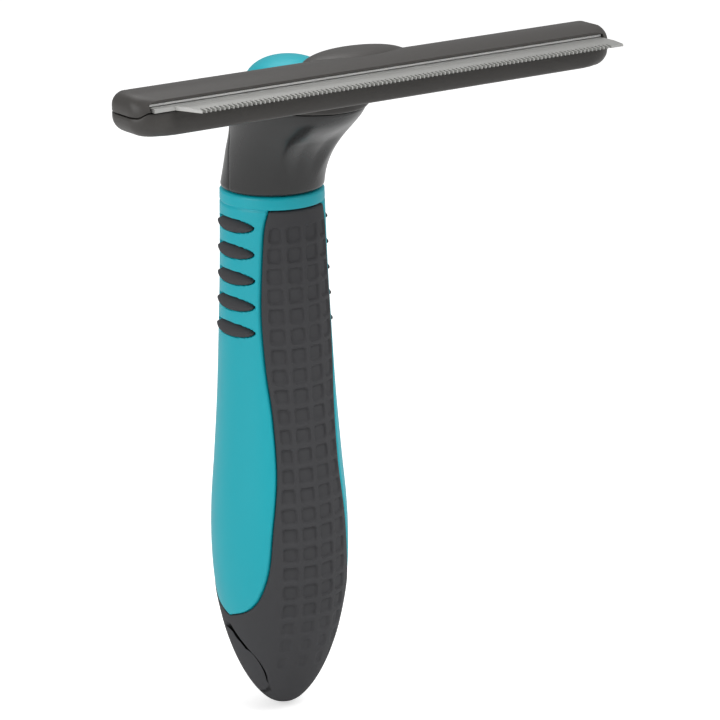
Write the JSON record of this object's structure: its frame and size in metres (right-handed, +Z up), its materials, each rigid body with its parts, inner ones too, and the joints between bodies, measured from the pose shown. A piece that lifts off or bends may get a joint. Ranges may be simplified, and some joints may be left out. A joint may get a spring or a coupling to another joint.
{
  "type": "dematting comb",
  "caption": "T-shaped pet grooming comb: a fine-toothed steel blade on a cross bar, a two-colour grip and a thumb button that pushes collected hair off the teeth.",
  "frame": {"origin": "centre of the bounding box's footprint, at the rounded lower end of the handle", "axes": "+Z up along the handle to the head, -Y towards the tooth tips, +X along the bar"},
  "size_m": [0.114, 0.0642, 0.151],
  "materials": {
    "teal_plastic": "satin",
    "dark_rubber": "matt, softly textured",
    "black_plastic": "gloss",
    "head_plastic": "satin",
    "ground_steel": "ground",
    "bright_steel": "bright"
  },
  "bodies": {
    "comb_body": {"handle_core": "teal_plastic", "soft_grip": "dark_rubber", "left_rib_1": "dark_rubber", "left_rib_2": "dark_rubber", "left_rib_3": "dark_rubber", "left_rib_4": "dark_rubber", "left_rib_5": "dark_rubber", "right_rib_1": "dark_rubber", "right_rib_2": "dark_rubber", "right_rib_3": "dark_rubber", "right_rib_4": "dark_rubber", "right_rib_5": "dark_rubber", "neck_front_shell": "black_plastic", "neck_rear_shell": "black_plastic", "deck_screw_1": "bright_steel", "deck_screw_2": "bright_steel", "neck_screw_1": "bright_steel", "neck_screw_2": "bright_steel", "head_lower_shell": "head_plastic", "head_upper_shell": "head_plastic", "head_screw_1": "bright_steel", "head_screw_2": "bright_steel", "head_screw_3": "bright_steel", "head_screw_4": "bright_steel", "comb_blade": "ground_steel", "blade_screw_1": "bright_steel", "blade_screw_2": "bright_steel", "blade_screw_3": "bright_steel", "blade_screw_4": "bright_steel", "return_spring": "bright_steel"},
    "ejector": {"ejector_plate": "ground_steel", "ejector_slider": "black_plastic", "ejector_rivet_1": "bright_steel", "ejector_rivet_2": "bright_steel", "eject_button": "teal_plastic", "spring_rod": "bright_steel"}
  },
  "joints": [
    {"name": "eject_slide", "type": "slide", "parent": "comb_body", "child": "ejector", "axis": [0, -1, 0], "range_m": [0, 0.0065], "stiffness_N_per_m": 150, "springref_m": -0.002, "deforming": ["return_spring"]}
  ]
}
